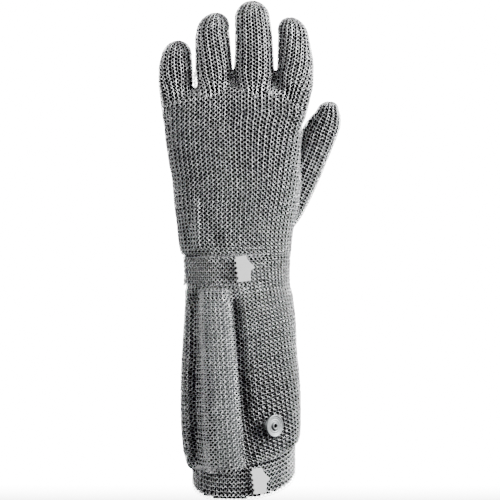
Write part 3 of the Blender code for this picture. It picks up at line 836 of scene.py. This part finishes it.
sleeveRings = {
    "pairs": 64,                           # pairs of ring columns round the sleeve
    "inset": 0.9,                          # the first row stands this far above the mouth
    "wrist": 8.0, "top": 141.0,            # where the cuff's rows end, and the hand's
    "reach": 2.8,                          # a ring further than this from the form is left out
    "flatFrom": 116.0, "flatTo": 122.0,    # its rows run on straight between the fingers from here
    "blendFrom": 0.0, "blendTo": 40.0,     # the cuff's weave turns into the hand's between these
    "hand": {"spacing": 3.26, "lean": 17.0, "tilt": 15.0, "pitch": 3.5},
    "cuff": {"spacing": 3.12, "lean": 23.0, "tilt": 22.0, "pitch": 3.1},
}


# Lets the hand's rows run on straight up between the fingers
def runOnUp(field):
    s = sleeveRings
    weight = eased((field["height"] - s["flatFrom"]) / (s["flatTo"] - s["flatFrom"]))
    weight = weight * (np.abs(np.cos(field["turn"])) > 0.25)
    pick = np.nonzero(weight > 0)[0]
    turn, height = field["turn"][pick], field["height"][pick]
    x = sleevePoint(np.full_like(turn, s["flatFrom"]), turn)[:, 0]
    sheet = castOnForm(x, height, np.abs(turn) > math.pi / 2, field["place"][pick])
    share = weight[pick][:, None]
    field["place"][pick] = field["place"][pick] * (1.0 - share) + sheet * share


# How the weave hangs on the sleeve: its rows slope and bow, and its columns turn, crowd together
# and sweep to +X by shares of a round.
drape = {
    "columns": ("height", "slope", "bow", "twist", "crowd", "sweep"),
    "table": (
        (-142.5, 0.0, 0.0, 0.062, 0.03, 0.0),
        (-110.0, 0.08, 0.0, 0.048, 0.03, 0.0),
        (-80.0, 0.17, 0.0, 0.034, -0.03, 0.0),
        (-50.0, 0.20, 0.0, 0.021, -0.10, 0.0),
        (-20.0, 0.17, 0.0, 0.008, -0.10, 0.0),
        (8.0, 0.05, 0.0, 0.0, -0.02, 0.0),
        (25.0, 0.0, 0.0008, 0.0, 0.0, 0.0),
        (50.0, -0.01, 0.0024, 0.0, 0.0, 0.005),
        (125.0, -0.01, 0.0024, 0.0, 0.0, 0.06),
    ),
    "bowAt": 4.2,                          # x of the bow's middle
    "crowdAt": 0.62,                       # share of the round where the columns crowd
    "sweepUp": (0.48, 0.22),               # where the sweep starts and how long it takes to grow
    "sweepDown": (0.74, 0.26),             # and to fade
}
drapeAt = smoothTable(drape["columns"], drape["table"])


# How far round the sleeve's columns drift, as a share of the round
def sleeveDrift(height, fraction):
    hang = drapeAt(np.asarray(height, float))
    (up, upOver), (down, downOver) = drape["sweepUp"], drape["sweepDown"]
    swept = eased((fraction - up) / upOver) - eased((fraction - down) / downOver)
    crowded = np.sin(math.tau * (fraction - drape["crowdAt"])) / math.tau
    return hang["twist"] + hang["crowd"] * crowded + hang["sweep"] * swept


# How far the sleeve's rows rise or sink at an x
def sleeveSag(height, x):
    hang = drapeAt(height)
    return hang["slope"] * x - hang["bow"] * (x - drape["bowAt"]) ** 2


# The cuff's and the hand's rings, each as a front piece and a back piece
def sleevePieces():
    wrist, cuff, hand = sleeveRings["wrist"], sleeveRings["cuff"], sleeveRings["hand"]
    blend = sleeveRings["blendTo"] - sleeveRings["blendFrom"]
    spacing = hand["spacing"]
    handHeights = evenHeights(sleevePoint, wrist, sleeveRings["flatFrom"], spacing)
    further = np.arange(handHeights[-1] + spacing / 2, sleeveRings["top"], spacing / 2)
    handHeights = np.concatenate([handHeights, further])
    cuffHeights = evenHeights(sleevePoint, sleeve["bottom"] + sleeveRings["inset"], wrist, cuff["spacing"])
    cuffHeights = cuffHeights[:-1] if len(cuffHeights) % 2 else cuffHeights[1:-1]   # ends on an odd row
    for part, heights in (("cuff", cuffHeights), ("hand", handHeights)):
        field = columnField(sleevePoint, heights, sleeveRings["pairs"], sleeveDrift, sleeveSag)
        runOnUp(field)
        pitch = pitches(field)
        field["place"], field["normal"], gap = nearestOnForm(field["place"])
        share = eased((field["height"] - sleeveRings["blendFrom"]) / blend)
        weave = {key: cuff[key] * (1.0 - share) + hand[key] * share for key in ("lean", "tilt", "pitch")}
        lies = lieInWeave(field, weave, pitch)
        height, turn = field["height"], field["turn"]
        kept = (gap < sleeveRings["reach"]) & ~underStrap(height, turn)
        kept &= ~underPocket(lies["centre"], height, turn)
        kept &= field["place"][:, 2] < seamHeight(field["place"][:, 0]) + seam["lap"]
        front = np.abs(turn) < math.pi / 2
        for side, there in (("front", front), ("back", ~front)):
            made = makeRings(f"{part}_rings_{side}", lies, kept & there, ringSteel)
            finishPiece(made, "ring_mesh", part + "_mesh")


fingerRings = {
    "weave": {"spacing": 2.8, "lean": 17.0, "tilt": 16.0, "pitch": 4.2},
    "bottom": 121.0,
    "reach": 1.7,                              # a ring further than this from the form is left out
    "sheetFrom": 133.0, "sheetTo": 149.0,      # heights where a finger flattens into the hand
    "sheetReach": 75.0,                        # degrees either side of its middle that flatten
    "ownFrom": 143.0, "ownTo": 151.0,          # heights where it leaves the joined form
    "ownReach": 0.3,                           # past this share of that change every ring is kept
    "gather": 0.12,                            # how much its columns are drawn together
    "gatherPast": 8.0, "gatherOver": 16.0,     # from this far above gatherTop, over this height
    "twistFrom": 130.0,
}


# Lets a finger's columns run on down the flat of the hand to where its weave ends
def flattenIntoHand(field, shape):
    f = fingerRings
    turn, height = field["turn"], field["height"]
    row = smoothTable(fingerColumns, shape["table"])(height)
    gatherTop = shape["gatherTop"] + f["gatherPast"]
    backSide = np.abs(turn) > math.pi / 2
    aside = np.where(backSide, np.sign(turn) * (math.pi - np.abs(turn)), turn)
    share = np.degrees(aside) / f["sheetReach"] / 2 + 0.5
    drawn = np.where(backSide, 0.0, f["gather"] * eased((gatherTop - height) / f["gatherOver"]))
    share = share + drawn * np.sin(math.tau * share) / math.tau
    x = row["left"] + (row["right"] - row["left"]) * share
    weight = eased((f["sheetTo"] - height) / (f["sheetTo"] - f["sheetFrom"]))
    pick = np.nonzero((share > -0.02) & (share < 1.02) & (weight > 0))[0]
    sheet = castOnForm(x[pick], height[pick], backSide[pick], field["place"][pick])
    weight = weight[pick][:, None]
    field["place"][pick] = field["place"][pick] * (1.0 - weight) + sheet * weight


# One piece of rings for each finger, its columns turned by the finger's twist
def fingerPieces():
    f = fingerRings
    for name, shape in fingers.items():
        point, twist = fingerPoint[name], shape["twist"]
        heights = evenHeights(point, f["bottom"], shape["tip"][2] - tipInset, f["weave"]["spacing"])
        foot = point(f["twistFrom"], np.linspace(0.0, math.tau, 181))
        girth = np.linalg.norm(np.diff(foot, axis=0), axis=1).sum()
        field = columnField(point, heights, shape["pairs"],
                            lambda height, fraction: twist * (height - f["twistFrom"]) / girth)
        flattenIntoHand(field, shape)
        pitch = pitches(field)
        place, normal, gap = nearestOnForm(field["place"])
        own = eased((field["height"] - f["ownFrom"]) / (f["ownTo"] - f["ownFrom"]))[:, None]
        field["place"] = place * (1.0 - own) + field["place"] * own
        field["normal"] = unit(normal * (1.0 - own) + field["normal"] * own)
        kept = (gap < f["reach"]) | (own[:, 0] > f["ownReach"])
        kept &= field["place"][:, 2] > seamHeight(field["place"][:, 0]) + seam["gap"]
        made = makeRings(name + "_rings", lieInWeave(field, f["weave"], pitch), kept, ringSteel)
        finishPiece(made, "ring_mesh", name)


webs = {
    "weave": sleeveRings["hand"],
    "apart": 1.75,                         # between one column and the next
    "forks": (                             # middle x, low, high, and whether on the palm
        (29.0, 130.5, 142.0, True), (-2.0, 136.0, 150.0, True), (28.9, 131.5, 135.0, False),
    ),
    "palmAt": 12.6,                        # y of the patches on the palm
    "sideAt": (-5.0, 1.5, 4.0),            # y of the columns beside the index finger
    "sideFrom": 60.0,                      # x from which they are drawn in to the form
    "sideLow": 123.2, "sideHigh": 134.5,
}


# Small patches of rings where the fingers' weaves leave gaps, in the forks and beside the index
def webPiece():
    w = webs
    spacing = w["weave"]["spacing"]
    parts = []
    for x, low, high, onPalm in w["forks"]:
        for k in (-1, 0, 1):
            height = np.arange(low + (k % 2) * spacing / 2, high, spacing)
            across = np.full_like(height, x + k * w["apart"])
            place = np.stack([across, np.full_like(height, w["palmAt"]), height], -1)
            normal = np.tile((0.0, 1.0, 0.0), (len(height), 1))
            if not onPalm:
                place = castOnForm(across, height, np.zeros(len(height)), place)
                place, normal, _gap = nearestOnForm(place)
            parts.append((place, normal, np.full(len(height), k % 2)))
    for y in w["sideAt"]:
        height = np.arange(w["sideLow"], w["sideHigh"], spacing)
        beside = np.stack([np.full_like(height, w["sideFrom"]), np.full_like(height, y), height], -1)
        place, normal, _gap = nearestOnForm(beside)
        parts.append((place, normal, np.zeros(len(height))))
    place, normal, odd = [np.concatenate(part) for part in zip(*parts)]
    field = {"place": place, "normal": normal, "up": np.tile((0.0, 0.0, 1.0), (len(place), 1)), "odd": odd}
    lies = lieInWeave(field, w["weave"], np.full(len(place), 2 * w["apart"]))
    made = makeRings("web_rings", lies, odd >= 0, ringSteel)
    finishPiece(made, "ring_mesh", "hand_mesh")


# The thumb's rings, from the palm side of the hand to its tip
def thumbPiece():
    spacing = thumb["weave"]["spacing"]
    heights = evenHeights(thumbPoint, thumb["ringsFrom"], thumb["tip"][2] - tipInset, spacing)
    field = columnField(thumbPoint, heights, thumb["pairs"])
    pitch = pitches(field)
    field["place"], field["normal"], gap = nearestOnForm(field["place"])
    lies = lieInWeave(field, thumb["weave"], pitch)
    made = makeRings("thumb_rings", lies, gap < thumb["reach"], ringSteel)
    finishPiece(made, "ring_mesh", "thumb", "thumb_gusset")


# The same weave turned on its side: rows of rings along a band between two heights
def bandField(point, band, first, last):
    low, high, rows = band["low"], band["high"], band["rows"]
    parts = []
    for k in range(rows):
        height = low + (high - low) * (k + 0.5) / rows
        turns = np.linspace(first, last, 400)
        length = runLengths(point(height, turns))
        count = int(round(length[-1] / band["weave"]["spacing"]))
        at = (np.arange(count) + 0.5 * (k % 2)) * length[-1] / count
        parts.append((np.interp(at, length, turns), np.full(count, height), np.full(count, k % 2)))
    turn, height, odd = [np.concatenate(part) for part in zip(*parts)]
    place, normal, around, _up = surfaceAt(point, height, turn)
    field = {"place": place + normal * band["lift"], "normal": normal, "up": around, "odd": odd}
    return field, lieInWeave(field, band["weave"], np.full(len(odd), 2 * (high - low) / rows))


hemBand = {
    "weave": {"spacing": 3.2, "lean": 29.0, "tilt": 20.0, "pitch": 3.3, "radius": 1.34},
    "low": 0.5, "high": 28.5, "rows": 17,          # heights above its lower edge
    "lift": 0.0,
    "lap": 3.5,                                    # how far it runs on up inside the cuff
    "cut": (-157.1, 0.10, 0.62, 0.16),             # its lower edge: height, side slope, front, back
    "shadeAbove": 0.2,                              # the black sheet of painted shade ends this far above that edge
}


# The height of the hem's lower edge
def hemEdge(x, y):
    height, side, front, back = hemBand["cut"]
    return height + side * x + front * np.minimum(y, 0.0) + back * np.maximum(y, 0.0)


# The hem's rings lie in rows along its lower edge
def hemRow(rise, turn):
    rise, turn = np.broadcast_arrays(np.asarray(rise, float), turn)
    x, y = sectionPoint(hem, turn, hem["squareness"])
    return np.stack([x, y, hemEdge(x, y) + rise], -1)


# The wrist strap's rings and the hem's
def strapPieces():
    w = wristStrap
    field, lies = bandField(sleevePoint, w, math.radians(w["fromTurn"]), math.radians(w["toTurn"]))
    made = makeRings("wrist_strap_rings", lies, field["odd"] >= 0, ringSteel)
    finishPiece(made, "ring_mesh", "wrist_strap")
    field, lies = bandField(hemRow, hemBand, -math.pi, math.pi)
    x, y, z = field["place"].T
    kept = z < sleeve["bottom"] + slant(x, y, sleeve["bottom"]) + hemBand["lap"]
    made = makeRings("hem_band_rings", lies, kept, ringSteel)
    finishPiece(made, "ring_mesh", "hem_band")


# The pocket's rings, which rise over the stay and come down on the cuff at their edges
def pocketPiece():
    p = pocket
    parts = []
    heights = np.arange(p["bottom"] + p["firstRow"], p["top"], p["weave"]["spacing"] / 2)
    for k, height in enumerate(heights):
        left, right = pocketEdges(height)
        across = np.arange(k % 2, 2 * p["columns"] + 1, 2) / 2 / p["columns"]
        turn = frontTurns(height, left + across * (right - left))
        side = np.minimum(across / p["leftShare"], 1.0 - across)
        rise = eased(side / p["sideShoulder"])
        edge = p["foot"] + (p["edgeLift"] - p["foot"]) * eased(side / p["footShoulder"])
        share = (p["top"] - height) / (p["top"] - p["bottom"])
        lift = edge + p["lift"] * rise * eased(share / p["topShoulder"]) - p["sink"] * (k % 2)
        parts.append((turn, np.full_like(turn, height), np.full(len(turn), k % 2), lift))
    turn, height, odd, lift = [np.concatenate(part) for part in zip(*parts)]
    place, normal, _around, up = surfaceAt(sleevePoint, height, turn)
    field = {"place": place + normal * lift[:, None], "normal": normal, "up": up, "odd": odd,
             "row": height, "closed": False}
    made = makeRings("stay_pocket_rings", lieInWeave(field, p["weave"], pitches(field)),
                     odd >= 0, ringSteel)
    finishPiece(made, "ring_mesh", "stay_pocket")


# Thin black sheet of painted shade just inside the rings, open at the cuff's mouth
def shadeSheetPiece():
    mesh = blendedForm(form["shadeVoxel"], form["shadeSmoothing"], form["shadeDepth"])
    points, _normals = meshArrays(mesh)
    keep = points[:, 2] > hemEdge(points[:, 0], points[:, 1]) + hemBand["shadeAbove"]
    remap = np.cumsum(keep) - 1
    faces = [tuple(int(remap[i]) for i in p.vertices) for p in mesh.polygons
             if all(keep[i] for i in p.vertices)]
    made = makeObject("painted_shade_sheet", points[keep], faces)
    wall = made.modifiers.new("wall", "SOLIDIFY")
    wall.thickness = form["shadeWall"] * mm
    wall.offset = -1.0
    made.data.materials.append(paintedShadeBlack)
    made.data.shade_smooth()
    print("core", len(faces), "faces")
    finishPiece(settled(made), "ring_mesh", "cuff_mesh")


# Thin black band of painted shade behind the strap's rings
def strapShadeSheet():
    w = wristStrap
    turns = np.radians(np.linspace(w["fromTurn"], w["toTurn"], 90))
    heights = np.linspace(w["low"] + w["shadeInset"], w["high"] - w["shadeInset"], 5)
    grid = []
    for height in heights:
        place, normal, _around, _up = surfaceAt(sleevePoint, np.full_like(turns, height), turns)
        grid.append(place + normal * w["shadeLift"])
    count = len(turns)
    faces = [(k * count + i, (k + 1) * count + i, (k + 1) * count + i + 1, k * count + i + 1)
             for k in range(len(heights) - 1) for i in range(count - 1)]
    made = makeObject("wrist_strap_painted_shade", np.concatenate(grid), faces)
    wall = made.modifiers.new("wall", "SOLIDIFY")
    wall.thickness = form["shadeWall"] * mm
    made.data.materials.append(paintedShadeBlack)
    made.data.shade_smooth()
    finishPiece(settled(made), "ring_mesh", "wrist_strap")


# A plate copied from the frame, its edges rolled over as blanking and tumbling leave them
def claspPiece(node, roll=0.22):
    made = bpy.data.objects.new(node + "_plate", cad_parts[node].data.copy())
    bpy.context.scene.collection.objects.link(made)
    work = bmesh.new()
    work.from_mesh(made.data)
    bmesh.ops.remove_doubles(work, verts=work.verts, dist=0.01 * mm)
    bmesh.ops.dissolve_limit(work, angle_limit=math.radians(1.0), verts=work.verts, edges=work.edges)
    work.to_mesh(made.data)
    work.free()
    made.data.materials.clear()
    made.data.materials.append(plateSteel)
    edge = made.modifiers.new("edge", "BEVEL")
    edge.width = roll * mm
    edge.segments = 3
    edge.limit_method = "ANGLE"
    edge.harden_normals = True
    finishPiece(settled(made), "clasp_plate", node)


button = {
    "at": (27.8, -115.6),          # x and height of its middle on the cuff's front
    "turn": 22.0, "lift": 0.1,     # degrees it faces round to +X, and how far it stands off
    "size": 1.09, "steps": 64,
    "hole": 1.15,                  # radius of the dent in its middle, painted black as shade
    "profile": (                   # radius and height: dent, boss, rings, rim, then the rivet behind
        (0.0, 0.5), (0.95, 0.5), (1.15, 2.2), (1.5, 2.7), (2.0, 2.85), (2.5, 2.6), (3.0, 2.0),
        (3.3, 1.75), (3.9, 1.7), (4.1, 1.85), (4.4, 1.85), (4.6, 1.7), (5.4, 1.75), (5.7, 1.95),
        (5.9, 1.95), (6.2, 1.85), (6.6, 2.1), (7.0, 2.3), (7.4, 2.2), (7.7, 1.9), (7.9, 1.4),
        (7.8, 1.0), (7.5, 0.8), (2.2, 0.7), (2.2, -3.6), (6.0, -3.8), (6.0, -4.8), (0.0, -4.8),
    ),
}


# The press button, turned from its profile and set on the cuff's front
def buttonPiece():
    b = button
    mesh = bpy.data.meshes.new("press_button")
    points = [(radius * b["size"] * mm, 0.0, out * mm) for radius, out in b["profile"]]
    mesh.from_pydata(points, [(i, i + 1) for i in range(len(points) - 1)], [])
    mesh.materials.append(buttonSteel)
    mesh.materials.append(paintedShadeBlack)
    made = bpy.data.objects.new("press_button", mesh)
    bpy.context.scene.collection.objects.link(made)
    turned = made.modifiers.new("turned", "SCREW")
    turned.axis = "Z"
    turned.steps = turned.render_steps = b["steps"]
    turned.use_merge_vertices = True
    turned.merge_threshold = 0.01 * mm
    turned.use_normal_calculate = True
    place, normal = frontPlace(sleevePoint, *b["at"])
    normal = Matrix.Rotation(math.radians(b["turn"]), 3, "Z") @ normal
    place = place + normal * b["lift"]
    across = Vector((0.0, 0.0, 1.0)).cross(normal).normalized()
    turn = Matrix((across, normal.cross(across), normal)).transposed().to_4x4()
    made.matrix_world = Matrix.Translation(place * mm) @ turn
    settled(made)
    middle = place * mm
    # Faces in the middle dent are painted black as shade; the rest take the button steel
    for face in made.data.polygons:
        away = face.center - middle
        near = (away - normal * away.dot(normal)).length
        face.material_index = 1 if near < b["hole"] * mm and away.dot(normal) > 0 else 0
        face.use_smooth = True
    finishPiece(made, "button_steel", "button")


sleevePieces()
fingerPieces()
webPiece()
thumbPiece()
strapPieces()
pocketPiece()
shadeSheetPiece()
strapShadeSheet()
claspPiece("wrist_clasp")
claspPiece("hem_clasp")
buttonPiece()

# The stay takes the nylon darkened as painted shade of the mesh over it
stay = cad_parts["cuff_stay"]
stay.data.materials.clear()
stay.data.materials.append(nylon)

stage = {
    "floor": -190.0, "reach": 4400.0,                  # its height, and how far it goes to each side
    "back": 3600.0, "curve": 400.0, "top": 3200.0,     # the wall, and the bend up to it
    "paper": "#F4F4F4",
    "air": 0.03,                                       # faint light from all round
    "glow": 18.0, "glowFrom": 0.15, "glowTo": 0.45,    # metres behind the glove where it grows
}
lights = (        # name, place, aim, size in metres, and watts
    ("rightKey", (1200, -280, 400), (0, 0, 10), (0.4, 1.1), 78),
    ("leftFill", (-1200, -250, 350), (0, 0, 10), (0.4, 1.1), 17),
    ("top", (0, -1200, 900), (0, 0, 20), (0.8, 0.5), 7),
    ("back", (150, 1500, 700), (0, 0, 10), (0.9, 0.9), 26),
)
view = {
    "across": 375.0,                   # what it frames at the glove
    "distance": 3000.0, "x": 10.5, "height": 60.0, "aimHeight": 15.0,
}


# An area light that faces its aim
def softLight(name, place, aim, size, power):
    light = bpy.data.lights.new(name, "AREA")
    light.shape = "RECTANGLE"
    light.size, light.size_y = size
    light.energy = power
    made = bpy.data.objects.new(name, light)
    bpy.context.scene.collection.objects.link(made)
    made.location = Vector(place) * mm
    made.rotation_euler = (Vector(aim) - Vector(place)).to_track_quat("-Z", "Y").to_euler()


# Pale paper that runs back from the floor and up a far wall, and the lights
def buildStage():
    world = bpy.data.worlds.new("studio")
    bpy.context.scene.world = world
    world.use_nodes = True
    world.node_tree.nodes["Background"].inputs["Color"].default_value = (1.0, 1.0, 1.0, 1.0)
    world.node_tree.nodes["Background"].inputs["Strength"].default_value = stage["air"]
    made, tree, shader = newMaterial("pale backdrop paper")
    shader.inputs["Base Color"].default_value = linear(stage["paper"])
    shader.inputs["Roughness"].default_value = 0.9
    shader.inputs["Emission Color"].default_value = (1.0, 1.0, 1.0, 1.0)
    spot = addNode(tree, "ShaderNodeTexCoord")
    along = addNode(tree, "ShaderNodeSeparateXYZ", links={"Vector": spot.outputs["Object"]})
    reach = {"From Min": stage["glowFrom"], "From Max": stage["glowTo"], "To Max": stage["glow"]}
    glow = addNode(tree, "ShaderNodeMapRange", reach, {"Value": along.outputs["Y"]})
    tree.links.new(glow.outputs["Result"], shader.inputs["Emission Strength"])
    s = stage
    profile = [(-s["reach"], s["floor"])]
    for t in np.linspace(0.0, math.pi / 2, 13):
        profile.append((s["back"] + s["curve"] * math.sin(t), s["floor"] + s["curve"] * (1 - math.cos(t))))
    profile.append((s["back"] + s["curve"], s["top"]))
    verts = [(x, y, z) for y, z in profile for x in (-s["reach"], s["reach"])]
    faces = [(2 * i, 2 * i + 1, 2 * i + 3, 2 * i + 2) for i in range(len(profile) - 1)]
    backdrop = makeObject("backdrop", verts, faces)
    backdrop.data.materials.append(made)
    backdrop.data.shade_smooth()
    backdrop.visible_glossy = False         # the rings don't mirror the bright paper behind them
    backdrop.visible_diffuse = False
    for light in lights:
        softLight(*light)


# The camera looks at the back of the hand from a little above its middle
def buildCamera():
    data = bpy.data.cameras.new("camera")
    data.sensor_width = 36.0
    made = bpy.data.objects.new("camera", data)
    bpy.context.scene.collection.objects.link(made)
    v = view
    data.lens = data.sensor_width / (v["across"] / v["distance"])
    made.location = Vector((v["x"], -v["distance"], v["height"])) * mm
    aim = Vector((v["x"], 0.0, v["aimHeight"])) * mm
    made.rotation_euler = (aim - made.location).to_track_quat("-Z", "Y").to_euler()
    bpy.context.scene.camera = made


buildStage()
buildCamera()
print("stage, lights and camera set")
